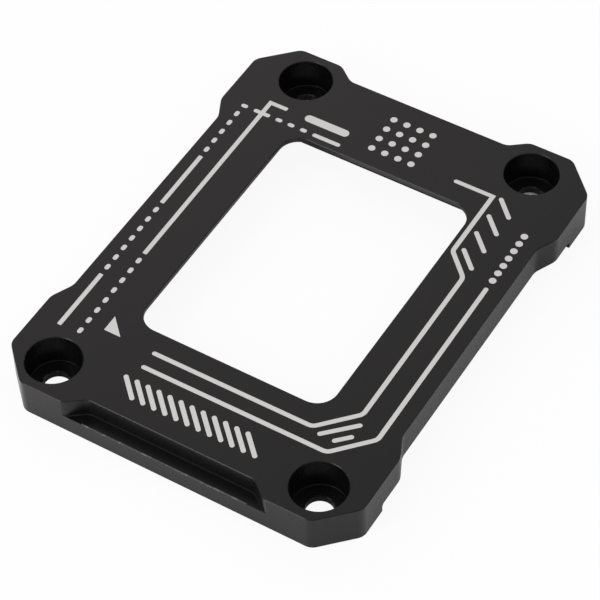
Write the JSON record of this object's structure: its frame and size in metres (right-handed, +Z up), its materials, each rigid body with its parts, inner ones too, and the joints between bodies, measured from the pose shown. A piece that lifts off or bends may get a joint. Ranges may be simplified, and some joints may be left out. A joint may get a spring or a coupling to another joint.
{
  "type": "cpu socket retention frame",
  "caption": "Flat milled frame that clamps a processor in its socket: rounded window with a thin lip, counterbored screw holes, waisted sides and a pocket in one end.",
  "frame": {"origin": "centre of the box in plan, at the undersides of the feet", "axes": "+Z up through the plate's thickness, +Y along the frame's long way, away from the end with the pocket, +X to the right"},
  "size_m": [0.054, 0.0712, 0.006],
  "materials": {
    "black_anodised": "black anodised, fine satin",
    "pale_marking": "laser marked through the black, matt"
  },
  "bodies": {
    "root": {"retention_frame": "black_anodised"}
  },
  "joints": []
}
